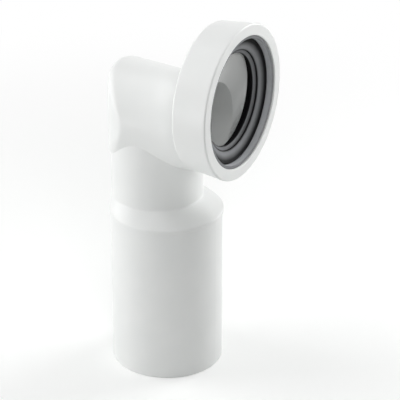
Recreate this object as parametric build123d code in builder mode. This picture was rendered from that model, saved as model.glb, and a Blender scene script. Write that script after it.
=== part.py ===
# Toilet pan connector: a white moulded right-angle bend with a wide cup for the pan's outlet,
# a grey rubber lip seal in the cup, a white retaining ring over the seal and a long plain spigot.
# Frame: Z is up, the cup's mouth faces +X, and the origin is the centre of the spigot's end face.
import os

from build123d import *

# Pipe run, in millimetres
wall = 3.2  # moulded pipe wall
spigot_od = 110.0  # outside of the spigot, a standard soil pipe size
spigot_length = 160.0  # plain length from the end face up to the collar
collar_step = 1.2  # how far the collar stands proud of the spigot
collar_land = 3.6  # height of the collar's upright edge
shoulder_rise = 14.0  # height of the sloping shoulder above the collar
neck_set_back = 20.0  # neck's front behind the spigot's front; their backs are flush
neck_length = 83.0  # top of the shoulder up to the arm's axis
arm_step = 3.0  # how far the arm stands proud of the neck at the bend
arm_taper = 2.5  # radius that the arm loses between the neck's axis and the cup
arm_back_step = 0.8  # how far the arm's closed end stands behind the neck's back
arm_end_radius = 52.0  # curve of the arm's closed end, seen from above
arm_end_round = 10.0  # rounding of the edge of that closed end
edge_round = 0.8  # rounding of the spigot's end and of the collar's lower edge
shoulder_round = 2.0  # rounding of the edge between the collar and the shoulder
neck_root_round = 2.0  # fillet where the neck rises from the shoulder

# Cup
mouth_reach = 84.2  # spigot's axis to the plane of the cup's mouth
mouth_od = 151.4  # outside of the cup at its mouth
cup_depth = 37.7  # mouth to the back of the cup
cup_taper = 4.2  # radius that the cup loses towards its back
cup_wall = 3.6  # wall round the cup and across its back
arm_inset = 0.5  # arm's underside above the cup's underside at the rim
cup_back_round = 3.0  # rounding of the cup's back edge
seat_depth = 14.2  # mouth to the ledge that the seal sits on
seat_ledge = 4.0  # width of that ledge
funnel_edge = 6.0  # width of the funnel's front edge; its steep top and bottom are thinner

# Retaining ring
ring_width = 11.7  # width of the ring's face, from the mouth's edge to its opening
ring_face = 2.4  # thickness of the ring's face
ring_edge_round = 1.6  # rounding of the ring's outer edge
ring_lip_round = 0.8  # rounding of the edge of the opening
skirt_length = 7.0  # skirt behind the ring's face, inside the cup
skirt_wall = 2.4  # thickness of that skirt

# Lip seal
band_inset = 1.2  # seal's front edge behind the mouth
band_wall = 2.95  # thickness of the band inside the ring
band_round = 0.5  # rounding of the band's front edge
first_root_depth = 6.6  # mouth to the root of the first lip, at the foot of the band
first_lip_depth = 11.0  # mouth to the edge of the first lip
first_lip_reach = 11.7  # root of the first lip to its edge, inwards
first_lip_wall = 1.6  # thickness of the first lip
first_lip_round = 0.6  # rounding of the edge of the first lip
root_groove = 1.2  # width and depth of the groove round the root of the first lip
slot_reach = 10.0  # how far the slot between the lips runs outwards from the first lip's edge
slot_width = 1.4  # width of that slot at its bottom
second_lip_depth = 14.5  # mouth to the edge of the second lip
second_lip_reach = 3.3  # how much further inwards the second lip reaches than the first
second_lip_land = 2.4  # thickness of the second lip's edge
second_lip_round = 0.6  # rounding of the edge of the second lip
web_back = 3.0  # how far the seal's web reaches behind the ledge
sleeve_set_out = 5.3  # sleeve's bore outside the second lip's edge
sleeve_length = 5.9  # sleeve behind the second lip, back to the funnel
sleeve_wall = 2.6  # thickness of that sleeve

# Fits
slide_gap = 0.2  # radial gap between the skirt and the cup
seal_gap = 0.15  # gap between the seal and what holds it

# Places worked out from the sizes
spigot_r = spigot_od / 2
collar_r = spigot_r + collar_step
neck_r = spigot_r - neck_set_back / 2
neck_x = neck_r - spigot_r
shoulder_z = spigot_length + collar_land
neck_z = shoulder_z + shoulder_rise
arm_z = neck_z + neck_length
arm_r = neck_r + arm_step
arm_back_x = neck_x - neck_r - arm_back_step
cup_back_x = mouth_reach - cup_depth
rim_x = mouth_reach - ring_face
arm_slope = arm_taper / (cup_back_x - neck_x)
mouth_r = mouth_od / 2
rim_r = mouth_r - cup_taper * ring_face / cup_depth
back_r = mouth_r - cup_taper
seat_r = rim_r - cup_wall
ledge_r = seat_r - seat_ledge
skirt_r = seat_r - slide_gap
skirt_end = ring_face + skirt_length
opening_r = mouth_r - ring_width
floor_depth = cup_depth - cup_wall
floor_x = mouth_reach - floor_depth
band_r = opening_r - seal_gap
root_r = band_r - band_wall - root_groove
first_r = root_r - first_lip_reach
slot_r = first_r + slot_reach
lip_slope = (first_lip_depth - first_root_depth) / (root_r - first_r)
slot_depth = first_lip_depth + first_lip_wall - lip_slope * slot_reach
second_r = first_r - second_lip_reach
land_end = second_lip_depth + second_lip_land
sleeve_r = second_r + sleeve_set_out
sleeve_end = land_end + sleeve_length
funnel_x = mouth_reach - sleeve_end - seal_gap


def arm_radius(x):
    # outside radius of the arm at x
    return arm_r - arm_slope * (x - neck_x)


# The cup's underside meets the arm's underside near the rim
cup_z = arm_z + rim_r - arm_radius(rim_x) - arm_inset
arm_axis = Axis((0, 0, arm_z), (1, 0, 0))
cup_axis = Axis((0, 0, cup_z), (1, 0, 0))


def at(depth, radius):
    # point on the cup's section, by its depth behind the mouth and its radius
    return (mouth_reach - depth, cup_z + radius)


def arm_run(skin, front_x):
    # arm shrunk by skin, from its closed end to front_x: a cone whose end is curved in plan
    back_x = arm_back_x + skin
    end_x = arm_back_x + arm_end_radius
    with BuildPart() as run:
        with BuildSketch(Plane.XZ):
            with BuildLine():
                Polyline(
                    (back_x, arm_z),
                    (back_x, arm_z + arm_radius(back_x) - skin),
                    (front_x, arm_z + arm_radius(front_x) - skin),
                    (front_x, arm_z),
                    close=True,
                )
            make_face()
        revolve(axis=arm_axis)
        with BuildSketch(Plane.XY.offset(arm_z)):
            with Locations((end_x, 0)):
                Circle(arm_end_radius - skin)
                Rectangle(front_x - back_x, 2 * (arm_end_radius - skin), align=(Align.MIN, Align.CENTER))
        extrude(amount=2 * arm_r, both=True, mode=Mode.INTERSECT)
        end_edges = run.edges().filter_by(lambda edge: edge.center().X < neck_x)
        fillet(end_edges, radius=arm_end_round - skin)
    return run.part


def stack_run(skin):
    # spigot, shoulder and neck shrunk by skin; the shoulder's inside is lowered to keep its wall
    drop = skin / 2
    with BuildPart() as run:
        with BuildSketch(Plane.XY):
            Circle(spigot_r - skin)
        extrude(amount=shoulder_z - drop)
        with BuildSketch(Plane.XY.offset(shoulder_z - drop)):
            Circle(collar_r - skin)
        with BuildSketch(Plane.XY.offset(neck_z - drop)):
            with Locations((neck_x, 0)):
                Circle(neck_r - skin)
        loft()
        with BuildSketch(Plane.XY.offset(neck_z - drop)):
            with Locations((neck_x, 0)):
                Circle(neck_r - skin)
        extrude(amount=neck_length + drop)
    return run.part


def funnel_run(skin):
    # funnel from the sleeve's bore down to the arm's bore, widened by skin
    with BuildPart() as run:
        with BuildSketch(Plane.YZ.offset(floor_x)):
            with Locations((0, arm_z)):
                Circle(arm_radius(floor_x) - wall + skin)
        with BuildSketch(Plane.YZ.offset(funnel_x)):
            with Locations((0, cup_z)):
                Circle(sleeve_r + skin)
        loft(ruled=True)
    return run.part


stack_outside = stack_run(0)
stack_bore = stack_run(wall)
arm_outside = arm_run(0, rim_x)
arm_bore = arm_run(wall, floor_x)
funnel_outside = funnel_run(funnel_edge)
funnel_bore = funnel_run(0)

# Funnel's solid, kept inside the cup's wall
with BuildPart() as funnel:
    add(funnel_outside)
    with BuildSketch(Plane.YZ.offset(floor_x)):
        with Locations((0, cup_z)):
            Circle(ledge_r + cup_wall / 2)
    extrude(amount=funnel_x - floor_x, mode=Mode.INTERSECT)

# Moulded body: the pipe run, the cup and the funnel inside it, in one piece
with BuildPart() as connector_body:
    add(stack_outside)
    with BuildSketch(Plane.XY.offset(spigot_length)):
        Circle(collar_r)
    extrude(amount=collar_land)
    for height, radius in ((neck_z, neck_root_round), (shoulder_z, shoulder_round), (0, edge_round)):
        fillet(connector_body.edges().filter_by_position(Axis.Z, height, height), radius=radius)
    collar_edges = connector_body.edges().filter_by_position(Axis.Z, spigot_length, spigot_length)
    fillet(collar_edges.sort_by(SortBy.LENGTH)[-1], radius=edge_round)
    add(arm_outside)
    with BuildSketch(Plane.XZ) as cup_section:
        with BuildLine():
            Polyline(
                at(cup_depth, 0),
                at(cup_depth, back_r),
                at(ring_face, rim_r),
                at(ring_face, 0),
                close=True,
            )
        make_face()
        back_corner = cup_section.vertices().group_by(Axis.X)[0].sort_by(Axis.Y)[-1]
        fillet(back_corner, radius=cup_back_round)
    revolve(axis=cup_axis)
    with BuildSketch(Plane.XZ):
        with BuildLine():
            Polyline(
                at(floor_depth, 0),
                at(floor_depth, ledge_r),
                at(seat_depth, ledge_r),
                at(seat_depth, seat_r),
                at(ring_face, seat_r),
                at(ring_face, 0),
                close=True,
            )
        make_face()
    revolve(axis=cup_axis, mode=Mode.SUBTRACT)
    add(funnel.part)
    for bore in (stack_bore, arm_bore, funnel_bore):
        add(bore, mode=Mode.SUBTRACT)

# Retaining ring: a face over the cup's rim and a skirt inside it, which keeps the seal on its ledge
with BuildPart() as retaining_ring:
    with BuildSketch(Plane.XZ) as ring_section:
        with BuildLine():
            Polyline(
                at(0, opening_r),
                at(0, mouth_r),
                at(ring_face, rim_r),
                at(ring_face, skirt_r),
                at(skirt_end, skirt_r),
                at(skirt_end, skirt_r - skirt_wall),
                at(ring_face, skirt_r - skirt_wall),
                at(ring_face, opening_r),
                close=True,
            )
        make_face()
        front_corners = ring_section.vertices().group_by(Axis.X)[-1].sort_by(Axis.Y)
        fillet(front_corners[-1], radius=ring_edge_round)
        fillet(front_corners[0], radius=ring_lip_round)
    revolve(axis=cup_axis)

# Lip seal: a band inside the ring, a flange on the ledge, two sloping lips and a sleeve behind them
with BuildPart() as inlet_seal:
    with BuildSketch(Plane.XZ) as seal_section:
        with BuildLine():
            Polyline(
                at(band_inset, band_r),
                at(band_inset, band_r - band_wall),
                at(first_root_depth + root_groove, band_r - band_wall),
                at(first_root_depth + root_groove, root_r),
                at(first_root_depth, root_r),
                at(first_lip_depth, first_r),
                at(first_lip_depth + first_lip_wall, first_r),
                at(slot_depth, slot_r),
                at(slot_depth + slot_width, slot_r),
                at(second_lip_depth, second_r),
                at(land_end, second_r),
                at(land_end, sleeve_r),
                at(sleeve_end, sleeve_r),
                at(sleeve_end, sleeve_r + sleeve_wall),
                at(seat_depth + web_back, sleeve_r + sleeve_wall),
                at(seat_depth + web_back, ledge_r - seal_gap),
                at(seat_depth, ledge_r - seal_gap),
                at(seat_depth, seat_r - seal_gap),
                at(skirt_end + seal_gap, seat_r - seal_gap),
                at(skirt_end + seal_gap, skirt_r - skirt_wall - seal_gap),
                at(ring_face + seal_gap, skirt_r - skirt_wall - seal_gap),
                at(ring_face + seal_gap, band_r),
                close=True,
            )
        make_face()
        fillet(seal_section.vertices().group_by(Axis.X)[-1], radius=band_round)
        first_lip_edge = seal_section.vertices().filter_by_position(Axis.Y, cup_z + first_r, cup_z + first_r)
        fillet(first_lip_edge, radius=first_lip_round)
        fillet(seal_section.vertices().group_by(Axis.Y)[0], radius=second_lip_round)
    revolve(axis=cup_axis)

os.makedirs("parts", exist_ok=True)
for name, piece in (
    ("connector_body", connector_body.part),
    ("retaining_ring", retaining_ring.part),
    ("inlet_seal", inlet_seal.part),
):
    piece.label = name
    export_step(piece, f"parts/{name}.step")
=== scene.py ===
import math

import bpy
import numpy as np
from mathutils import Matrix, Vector


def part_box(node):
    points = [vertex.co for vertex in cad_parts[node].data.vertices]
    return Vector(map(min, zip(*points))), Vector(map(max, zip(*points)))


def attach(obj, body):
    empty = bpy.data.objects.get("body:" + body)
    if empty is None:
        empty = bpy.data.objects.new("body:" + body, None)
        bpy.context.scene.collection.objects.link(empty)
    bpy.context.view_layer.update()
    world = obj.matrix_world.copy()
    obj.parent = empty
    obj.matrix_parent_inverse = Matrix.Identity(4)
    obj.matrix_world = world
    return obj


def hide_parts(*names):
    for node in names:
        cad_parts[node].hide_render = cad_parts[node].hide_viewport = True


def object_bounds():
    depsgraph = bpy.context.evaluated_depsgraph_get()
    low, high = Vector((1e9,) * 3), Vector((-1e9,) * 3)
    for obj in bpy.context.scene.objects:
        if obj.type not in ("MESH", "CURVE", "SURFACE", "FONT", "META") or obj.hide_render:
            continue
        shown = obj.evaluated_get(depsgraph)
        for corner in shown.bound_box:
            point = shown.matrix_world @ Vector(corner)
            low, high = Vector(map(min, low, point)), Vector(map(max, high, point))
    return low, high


# Toilet pan connector in white polypropylene with a grey rubber lip seal. Metres, Z up, mouth facing +X.
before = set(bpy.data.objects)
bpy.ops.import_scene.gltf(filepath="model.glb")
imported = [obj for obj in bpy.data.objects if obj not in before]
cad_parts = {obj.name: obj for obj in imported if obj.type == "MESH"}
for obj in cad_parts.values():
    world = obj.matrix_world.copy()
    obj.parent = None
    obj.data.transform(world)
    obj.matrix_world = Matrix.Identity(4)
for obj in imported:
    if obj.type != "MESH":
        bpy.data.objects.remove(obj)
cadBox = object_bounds()
mm = 0.001
print("frame loaded:", sorted(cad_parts))


def linearColor(hexCode):
    # sRGB hex to linear RGBA: c / 12.92 up to 0.04045, else ((c + 0.055) / 1.055) to the power 2.4
    srgb = np.array([int(hexCode[i:i + 2], 16) for i in (1, 3, 5)]) / 255
    linear = np.where(srgb <= 0.04045, srgb / 12.92, ((srgb + 0.055) / 1.055) ** 2.4)
    return (*linear.tolist(), 1.0)


def addNode(tree, kind, inputs=(), **settings):
    # inputs pairs a socket's name or number with a value, or with the socket that feeds it
    node = tree.nodes.new(kind)
    for key, value in settings.items():
        setattr(node, key, value)
    for key, value in dict(inputs).items():
        if isinstance(value, bpy.types.NodeSocket):
            tree.links.new(value, node.inputs[key])
        else:
            node.inputs[key].default_value = value
    return node


# A Mix node set to colour takes its factor and its two colours, and gives its result, at these sockets.
mixFactor, mixFirst, mixSecond, mixResult = 0, 6, 7, 2
noiseSpan = (0.3, 0.7)  # nearly all of a noise texture's values lie between these


def newMaterial(name):
    material = bpy.data.materials.new(name)
    material.use_nodes = True
    material.node_tree.nodes.clear()
    return material, material.node_tree


# Injection-moulded polypropylene, a clean cool white with a soft gloss. The eye gets a broad sheen that
# is a little uneven, because the skin follows the mould's polish and sinks slightly as the wall cools.
polypropylene = {
    "white": "#eff0ef",
    "cool": "#e9ebea",
    "roughness": (0.32, 0.40),
    "ior": 1.49,
    "sinkSpacing": 28.0,  # mm between the shallow sinks
    "sinkDepth": 0.05,  # mm
    "sinkNoise": {"Detail": 1.5, "Roughness": 0.4},
    "grainSpacing": 1.6,  # mm; a mould's own grain is near 0.1, too fine to show, so it is drawn coarser
    "grainDepth": 0.004,  # mm
    "grainNoise": {"Detail": 2.0, "Roughness": 0.5},
}


def mouldedPolypropylene():
    p = polypropylene
    material, tree = newMaterial("moulded_white_polypropylene")
    place = addNode(tree, "ShaderNodeTexCoord").outputs["Object"]
    sinks = addNode(tree, "ShaderNodeTexNoise", {
        "Vector": place, "Scale": 1 / (p["sinkSpacing"] * mm), **p["sinkNoise"]})
    grain = addNode(tree, "ShaderNodeTexNoise", {
        "Vector": place, "Scale": 1 / (p["grainSpacing"] * mm), **p["grainNoise"]})
    tint = addNode(tree, "ShaderNodeMix", {
        mixFactor: sinks.outputs["Fac"], mixFirst: linearColor(p["white"]),
        mixSecond: linearColor(p["cool"])}, data_type="RGBA")
    sheen = addNode(tree, "ShaderNodeMapRange", {
        "Value": sinks.outputs["Fac"], "From Min": noiseSpan[0], "From Max": noiseSpan[1],
        "To Min": p["roughness"][0], "To Max": p["roughness"][1]})
    sinkBump = addNode(tree, "ShaderNodeBump", {
        "Height": sinks.outputs["Fac"], "Strength": 1.0, "Distance": p["sinkDepth"] * mm})
    grainBump = addNode(tree, "ShaderNodeBump", {
        "Height": grain.outputs["Fac"], "Strength": 1.0, "Distance": p["grainDepth"] * mm,
        "Normal": sinkBump.outputs["Normal"]})
    plastic = addNode(tree, "ShaderNodeBsdfPrincipled", {
        "Base Color": tint.outputs[mixResult], "Roughness": sheen.outputs["Result"], "IOR": p["ior"],
        "Normal": grainBump.outputs["Normal"]})
    addNode(tree, "ShaderNodeOutputMaterial", {"Surface": plastic.outputs["BSDF"]})
    return material


# Compression-moulded rubber, dull and mid grey. Its open faces carry a pale bloom. In the creases, behind
# the lips and on the faces that get no bloom, the colour is a nearly black painted shade, which draws a
# dark line at each lip.
rubber = {
    "bloom": "#c5c7ca",
    "faint": "#b9bbbe",
    # nearly black painted shade for the creases, the space behind the lips and the faces that get no
    # bloom
    "paintedShade": "#0e0e0f",
    "roughness": (0.58, 0.72),
    "ior": 1.52,
    "specular": 0.06,  # the bloom's powder and the fine grain take nearly all of the gloss
    "mottleSpacing": 7.0,  # mm between cloudy patches of bloom
    "mottleNoise": {"Detail": 3.0, "Roughness": 0.55},
    "grainSpacing": 1.1,  # mm; drawn coarser than the real fine grain, so that it shows
    "grainDepth": 0.02,  # mm
    "grainNoise": {"Detail": 2.0, "Roughness": 0.6},
}


def mouldedRubber():
    r = rubber
    material, tree = newMaterial("moulded_grey_rubber")
    place = addNode(tree, "ShaderNodeTexCoord").outputs["Object"]
    mottle = addNode(tree, "ShaderNodeTexNoise", {
        "Vector": place, "Scale": 1 / (r["mottleSpacing"] * mm), **r["mottleNoise"]})
    grain = addNode(tree, "ShaderNodeTexNoise", {
        "Vector": place, "Scale": 1 / (r["grainSpacing"] * mm), **r["grainNoise"]})
    # share of pale bloom at each point of the seal; where it is below one, the rest is the nearly black
    # painted shade
    bloomElsePaintedShade = addNode(tree, "ShaderNodeAttribute", attribute_name="bloom").outputs["Fac"]
    bloom = addNode(tree, "ShaderNodeMix", {
        mixFactor: mottle.outputs["Fac"], mixFirst: linearColor(r["bloom"]),
        mixSecond: linearColor(r["faint"])}, data_type="RGBA")
    # mixes the painted shade with the bloom by that share
    skin = addNode(tree, "ShaderNodeMix", {
        mixFactor: bloomElsePaintedShade, mixFirst: linearColor(r["paintedShade"]),
        mixSecond: bloom.outputs[mixResult]}, data_type="RGBA")
    dullness = addNode(tree, "ShaderNodeMapRange", {
        "Value": mottle.outputs["Fac"], "From Min": noiseSpan[0], "From Max": noiseSpan[1],
        "To Min": r["roughness"][0], "To Max": r["roughness"][1]})
    grainBump = addNode(tree, "ShaderNodeBump", {
        "Height": grain.outputs["Fac"], "Strength": 1.0, "Distance": r["grainDepth"] * mm})
    skinShader = addNode(tree, "ShaderNodeBsdfPrincipled", {
        "Base Color": skin.outputs[mixResult], "Roughness": dullness.outputs["Result"], "IOR": r["ior"],
        "Specular IOR Level": r["specular"], "Normal": grainBump.outputs["Normal"]})
    addNode(tree, "ShaderNodeOutputMaterial", {"Surface": skinShader.outputs["BSDF"]})
    return material


whitePlastic = mouldedPolypropylene()
greyRubber = mouldedRubber()
print("materials made:", whitePlastic.name, greyRubber.name)

# The cup's axis runs along X through the middle of the ring, and its mouth is the ring's front.
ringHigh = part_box("retaining_ring")[1]
mouthX = ringHigh.x / mm
cupZ = (ringHigh.z - ringHigh.y) / mm  # the ring is round, so its half width is its radius
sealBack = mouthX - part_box("inlet_seal")[0].x / mm  # mouth to the end of the seal's sleeve

turned = {
    "around": 240,  # steps round the cup's axis
    "arcSteps": 5,  # steps round each rounded corner of a section
    "longestStep": 0.75,  # mm along the straight runs of a section
}


def roundedSection(corners):
    # corners holds rows of depth, radius and rounding r, in order round the section. At a corner P with
    # unit directions a and b to its neighbours and angle w between them, the arc's centre is
    # P + (a + b) / |a + b| * r / sin(w / 2), it touches the sides r / tan(w / 2) from P, and its points
    # are slerped between those: (sin((1 - t) s) start + sin(t s) stop) / sin(s) with sweep s = pi - w.
    point, rounding = corners[:, :2], corners[:, 2:3]
    a = np.roll(point, 1, axis=0) - point
    b = np.roll(point, -1, axis=0) - point
    a /= np.linalg.norm(a, axis=1, keepdims=True)
    b /= np.linalg.norm(b, axis=1, keepdims=True)
    half = np.arccos(np.clip((a * b).sum(1, keepdims=True), -1, 1)) / 2
    middle = (a + b) / np.linalg.norm(a + b, axis=1, keepdims=True)
    centre = point + middle * rounding / np.sin(half)
    start = point + a * rounding / np.tan(half) - centre
    stop = point + b * rounding / np.tan(half) - centre
    sweep = (np.pi - 2 * half)[:, None]
    t = np.linspace(0, 1, turned["arcSteps"] + 1)[None, :, None]
    spoke = np.sin((1 - t) * sweep) * start[:, None] + np.sin(t * sweep) * stop[:, None]
    spoke /= np.sin(sweep)
    outward = np.sign(a[:, :1] * b[:, 1:] - a[:, 1:] * b[:, :1])[:, None]  # convex corners are positive
    line = (centre[:, None] + spoke).reshape(-1, 2)
    normal = (outward * spoke / np.linalg.norm(spoke, axis=2, keepdims=True)).reshape(-1, 2)
    # long runs get evenly spaced points: each point is repeated and stepped towards the next
    onward = np.roll(line, -1, axis=0) - line
    count = np.maximum(1, np.ceil(np.linalg.norm(onward, axis=1) / turned["longestStep"])).astype(int)
    first = np.repeat(np.arange(len(line)), count)
    step = np.arange(count.sum()) - np.repeat(np.cumsum(count) - count, count)
    share = (step / count[first])[:, None]
    line = line[first] + share * onward[first]
    nextNormal = np.roll(normal, -1, axis=0)
    normal = normal[first] * (1 - share) + nextNormal[first] * share
    return line, normal / np.linalg.norm(normal, axis=1, keepdims=True)


def turnedPiece(name, corners):
    # closed surface of revolution: X = mouth - depth, Y = radius sin(u), Z = axis + radius cos(u)
    section, sectionNormal = roundedSection(np.array(corners, float))
    u = np.linspace(0, 2 * np.pi, turned["around"], endpoint=False)[None, :]
    depth, radius = section[:, :1], section[:, 1:]
    x = np.broadcast_to(mouthX - depth, (len(section), u.size))
    place = np.stack([x, radius * np.sin(u), cupZ + radius * np.cos(u)], axis=2).reshape(-1, 3) * mm
    facing = np.stack([
        np.broadcast_to(-sectionNormal[:, :1], x.shape),
        sectionNormal[:, 1:] * np.sin(u),
        sectionNormal[:, 1:] * np.cos(u)], axis=2).reshape(-1, 3)
    index = np.arange(len(place)).reshape(x.shape)
    across = np.roll(index, -1, axis=0)
    face = np.stack([index, np.roll(index, -1, axis=1), np.roll(across, -1, axis=1), across], axis=2)
    mesh = bpy.data.meshes.new(name)
    mesh.from_pydata(place, [], face.reshape(-1, 4))
    mesh.polygons.foreach_set("use_smooth", np.ones(len(mesh.polygons), bool))
    mesh.normals_split_custom_set_from_vertices(facing)
    piece = bpy.data.objects.new(name, mesh)
    bpy.context.scene.collection.objects.link(piece)
    return piece, np.repeat(section, u.size, axis=0)


# Retaining ring, white plastic: a face over the cup's rim and a skirt inside it. Sizes in mm.
retainingRing = {
    "mouth": 75.7,  # outside radius
    "width": 11.7,
    "face": 2.4,
    "skirtEnd": 9.4,
    "skirtWall": 2.4,
    "cupWall": 3.8,  # cup's wall and the gap beside the skirt
    "rimTaper": 0.267,  # radius lost over the thickness of the face
    "edgeRound": 1.6,
    "lipRound": 0.8,
    "lipBackRound": 0.4,
    "moulded": 0.15,  # rounding of the corners that don't show
}


def makeRing():
    r = retainingRing
    mouth = r["mouth"]
    rim = mouth - r["rimTaper"]
    skirt = rim - r["cupWall"]
    opening = mouth - r["width"]
    inside = skirt - r["skirtWall"]
    return turnedPiece("ring", [
        (0, opening, r["lipRound"]), (0, mouth, r["edgeRound"]), (r["face"], rim, r["moulded"]),
        (r["face"], skirt, r["moulded"]), (r["skirtEnd"], skirt, r["moulded"]),
        (r["skirtEnd"], inside, r["moulded"]), (r["face"], inside, r["moulded"]),
        (r["face"], opening, r["lipBackRound"])])[0]


# Lip seal, grey rubber, one turned section: band, groove, two sloping lips with a slot between, and a
# sleeve. Sizes in mm, with depths from the mouth and the others as radii, walls or roundings.
lipSeal = {
    "bandFront": 1.2, "bandOuter": 63.85, "bandInner": 60.9, "bandRound": 0.5,  # band behind the ring
    "grooveDepth": 7.8, "grooveInner": 59.7,  # groove at the first lip's root
    "firstRoot": 6.6, "firstDepth": 11.0, "firstInner": 48.0, "firstWall": 1.6, "firstRound": 0.6,
    "slotOuter": 58.0, "slotWidth": 1.4,  # slot between the lips
    "secondDepth": 14.5, "secondInner": 44.7, "secondLand": 2.4, "secondRound": 0.6,
    "sleeveInner": 50.0, "sleeveOuter": 52.6,
    "webEnd": 17.2, "webOuter": 67.683,  # web from the sleeve out to the flange
    "ledge": 14.2, "flangeOuter": 71.683, "flangeFront": 9.55,  # flange on the cup's ledge
    "shoulderOuter": 69.083, "shoulderFront": 2.55,  # part that the ring's skirt goes round
    "moulded": 0.2,  # rounding of the corners that don't show
    # share of pale bloom by depth on the band, and by radius on the two lips' faces, lower on the lips
    # than on the band; where it falls to zero, at the band's edges, the groove and the lips' roots and
    # edges, the colour is painted shade
    "bandBloomAndPaintedShade": ((1.3, 0.45), (2.0, 1.0), (7.2, 1.0), (7.8, 0.5)),
    "firstBloomAndPaintedShade": ((48.7, 0.0), (49.5, 0.48), (52.0, 0.48), (57.0, 0.0)),
    "secondBloomAndPaintedShade": ((44.9, 0.0), (45.5, 0.46), (49.5, 0.46), (50.5, 0.0)),
}


def makeSeal():
    s = lipSeal
    m = s["moulded"]
    slope = (s["firstDepth"] - s["firstRoot"]) / (s["grooveInner"] - s["firstInner"])
    slotDepth = s["firstDepth"] + s["firstWall"] - slope * (s["slotOuter"] - s["firstInner"])
    landEnd = s["secondDepth"] + s["secondLand"]
    piece, section = turnedPiece("seal", [
        (s["bandFront"], s["bandInner"], s["bandRound"]),
        (s["bandFront"], s["bandOuter"], s["bandRound"]),
        (s["shoulderFront"], s["bandOuter"], m), (s["shoulderFront"], s["shoulderOuter"], m),
        (s["flangeFront"], s["shoulderOuter"], m), (s["flangeFront"], s["flangeOuter"], m),
        (s["ledge"], s["flangeOuter"], m), (s["ledge"], s["webOuter"], m),
        (s["webEnd"], s["webOuter"], m), (s["webEnd"], s["sleeveOuter"], m),
        (sealBack, s["sleeveOuter"], m), (sealBack, s["sleeveInner"], m),
        (landEnd, s["sleeveInner"], m), (landEnd, s["secondInner"], s["secondRound"]),
        (s["secondDepth"], s["secondInner"], s["secondRound"]),
        (slotDepth + s["slotWidth"], s["slotOuter"], m), (slotDepth, s["slotOuter"], m),
        (s["firstDepth"] + s["firstWall"], s["firstInner"], s["firstRound"]),
        (s["firstDepth"], s["firstInner"], s["firstRound"]),
        (s["firstRoot"], s["grooveInner"], m), (s["grooveDepth"], s["grooveInner"], m),
        (s["grooveDepth"], s["bandInner"], m)])
    # a lip's face lies at depth root + slope * (root's radius - radius); the lips' backs and every face
    # off the band and the lips' faces get no bloom, only the painted shade
    depth, radius = section.T
    slotBack = slotDepth + s["slotWidth"]
    secondSlope = (s["secondDepth"] - slotBack) / (s["slotOuter"] - s["secondInner"])
    firstFace = s["firstRoot"] + slope * (s["grooveInner"] - radius)
    secondFace = slotBack + secondSlope * (s["slotOuter"] - radius)
    onBand = radius > s["bandInner"] - m
    onFirst = depth < firstFace + m
    onSecond = np.abs(depth - secondFace) < m
    bloomElsePaintedShade = np.select(
        [onBand, onFirst, onSecond],
        [np.interp(depth, *zip(*s["bandBloomAndPaintedShade"])), np.interp(radius, *zip(*s["firstBloomAndPaintedShade"])),
         np.interp(radius, *zip(*s["secondBloomAndPaintedShade"]))], 0.0)
    # the bloom share is stored on the points; where it is zero the material paints the nearly black shade
    piece.data.attributes.new("bloom", "FLOAT", "POINT").data.foreach_set("value", bloomElsePaintedShade)
    return piece


ring = makeRing()
seal = makeSeal()
for piece, node, slotName, material in (
    (ring, "retaining_ring", "white_polypropylene", whitePlastic),
    (seal, "inlet_seal", "grey_rubber", greyRubber),
):
    piece.data.materials.append(material)
    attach(piece, "root")
    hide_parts(node)
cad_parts["connector_body"].material_slots[0].material = whitePlastic
print("pieces made:", ring.name, seal.name)

# Camera of the photograph, a long lens that looks down on the spigot's axis from the left of the mouth
photoView = {
    "azimuth": 29.07,  # degrees from looking along +Y
    "elevation": 26.35,
    "lens": 186.47,  # mm
    "sensor": 36.0,  # mm
    "distance": 2.0369,  # metres, as are the next three
    "heightOnAxis": 0.150,
    "aimRight": 0.03272,
    "aimUp": 0.01784,
}


def directionFrom(azimuth, elevation):
    # unit vector from the object towards a place seen at that azimuth and elevation
    a, e = math.radians(azimuth), math.radians(elevation)
    return Vector((math.sin(a) * math.cos(e), -math.cos(a) * math.cos(e), math.sin(e)))


def makeCamera():
    v = photoView
    back = directionFrom(v["azimuth"], v["elevation"])
    right = directionFrom(v["azimuth"] + 90, 0)
    aim = Vector((0, 0, v["heightOnAxis"])) + right * v["aimRight"] + back.cross(right) * v["aimUp"]
    camera = bpy.data.objects.new("photo_camera", bpy.data.cameras.new("photo_camera"))
    camera.data.sensor_width = v["sensor"]
    camera.data.lens = v["lens"]
    camera.location = aim + back * v["distance"]
    camera.rotation_euler = (-back).to_track_quat("-Z", "Y").to_euler()
    bpy.context.scene.collection.objects.link(camera)
    bpy.context.scene.camera = camera


makeCamera()

# Soft boxes, placed round the middle of the object. Degrees, metres and watts.
softBoxes = {
    "left_box": {"azimuth": -72, "elevation": 12, "distance": 1.3, "size": (0.9, 1.6), "power": 11.4},
    "low_strip": {"azimuth": -45, "elevation": -4, "distance": 1.2, "size": (1.2, 0.18), "power": 3.2},
    "right_box": {"azimuth": 150, "elevation": 4, "distance": 1.3, "size": (0.8, 1.6), "power": 19.0},
    "top_box": {"azimuth": 29, "elevation": 88, "distance": 1.5, "size": (1.4, 1.4), "power": 12.4},
    "front_box": {"azimuth": 36, "elevation": 30, "distance": 1.5, "size": (0.35, 0.35), "power": 3.6},
}
surroundings = {
    "ground": "#ffffff",  # what the eye sees behind the object
    "ambient": 0.10,  # strength of the even light from all round
    "floor": "#f1f2f1",
    "floorLift": 0.19,  # light that only the eye sees on the floor, which brings it to white
    "fadeFrom": 0.25,  # metres from the object at which the floor starts to fade into the white ground
    "fadeTo": 0.9,
    "floorHalf": 30.0,  # metres from the middle of the floor to its edges
}


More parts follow.
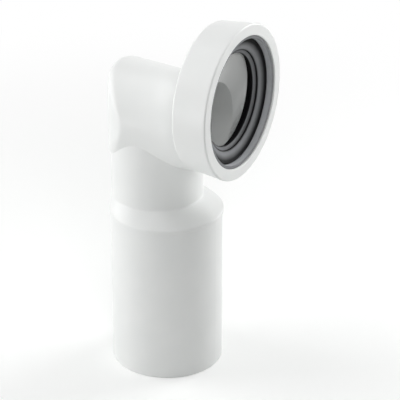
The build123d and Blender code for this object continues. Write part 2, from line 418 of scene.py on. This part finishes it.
def makeLights():
    middle = Vector((cadBox[0] + cadBox[1]) / 2)
    for name, box in softBoxes.items():
        away = directionFrom(box["azimuth"], box["elevation"])
        lamp = bpy.data.lights.new(name, "AREA")
        lamp.shape = "RECTANGLE"
        lamp.size, lamp.size_y = box["size"]
        lamp.energy = box["power"]
        holder = bpy.data.objects.new(name, lamp)
        holder.location = middle + away * box["distance"]
        holder.rotation_euler = (-away).to_track_quat("-Z", "Y").to_euler()
        bpy.context.scene.collection.objects.link(holder)


def seenByEye(tree):
    # 1 for rays from the camera and for those that gloss or glass sends on, else 0
    rays = addNode(tree, "ShaderNodeLightPath").outputs
    gloss = addNode(tree, "ShaderNodeMath", {0: rays["Is Glossy Ray"], 1: rays["Is Transmission Ray"]},
                    operation="MAXIMUM")
    return addNode(tree, "ShaderNodeMath", {0: rays["Is Camera Ray"], 1: gloss.outputs[0]},
                   operation="MAXIMUM").outputs[0]


def makeSurroundings():
    world = bpy.data.worlds.new("white_studio")
    bpy.context.scene.world = world
    world.use_nodes = True
    tree = world.node_tree
    tree.nodes.clear()
    white = linearColor(surroundings["ground"])
    even = addNode(tree, "ShaderNodeBackground", {"Color": white, "Strength": surroundings["ambient"]})
    ground = addNode(tree, "ShaderNodeBackground", {"Color": white, "Strength": 1.0})
    both = addNode(tree, "ShaderNodeMixShader", {
        0: seenByEye(tree), 1: even.outputs[0], 2: ground.outputs[0]})
    addNode(tree, "ShaderNodeOutputWorld", {"Surface": both.outputs[0]})


def makeFloor():
    # the floor is matt, and further out it fades into the same white as the ground behind it
    material, tree = newMaterial("matt_white_floor")
    place = addNode(tree, "ShaderNodeTexCoord").outputs["Object"]
    distance = addNode(tree, "ShaderNodeVectorMath", {0: place}, operation="LENGTH")
    fade = addNode(tree, "ShaderNodeMapRange", {
        "Value": distance.outputs["Value"], "From Min": surroundings["fadeFrom"],
        "From Max": surroundings["fadeTo"]}, interpolation_type="SMOOTHSTEP")
    seen = seenByEye(tree)
    lift = addNode(tree, "ShaderNodeMath", {0: seen, 1: surroundings["floorLift"]}, operation="MULTIPLY")
    far = addNode(tree, "ShaderNodeMath", {0: seen, 1: fade.outputs["Result"]}, operation="MULTIPLY")
    matt = addNode(tree, "ShaderNodeBsdfDiffuse", {"Color": linearColor(surroundings["floor"])})
    glow = addNode(tree, "ShaderNodeEmission", {"Strength": lift.outputs[0]})
    near = addNode(tree, "ShaderNodeAddShader", {0: matt.outputs[0], 1: glow.outputs[0]})
    ground = addNode(tree, "ShaderNodeEmission", {
        "Color": linearColor(surroundings["ground"]), "Strength": 1.0})
    both = addNode(tree, "ShaderNodeMixShader", {
        0: far.outputs[0], 1: near.outputs[0], 2: ground.outputs[0]})
    addNode(tree, "ShaderNodeOutputMaterial", {"Surface": both.outputs[0]})
    half = surroundings["floorHalf"]
    mesh = bpy.data.meshes.new("floor")
    corners = [(-half, -half, 0), (half, -half, 0), (half, half, 0), (-half, half, 0)]
    mesh.from_pydata(corners, [], [(0, 1, 2, 3)])
    mesh.materials.append(material)
    floor = bpy.data.objects.new("floor", mesh)
    bpy.context.scene.collection.objects.link(floor)


makeLights()
makeSurroundings()
makeFloor()
bpy.context.scene.view_settings.view_transform = "Standard"
print("camera, lights and floor made")
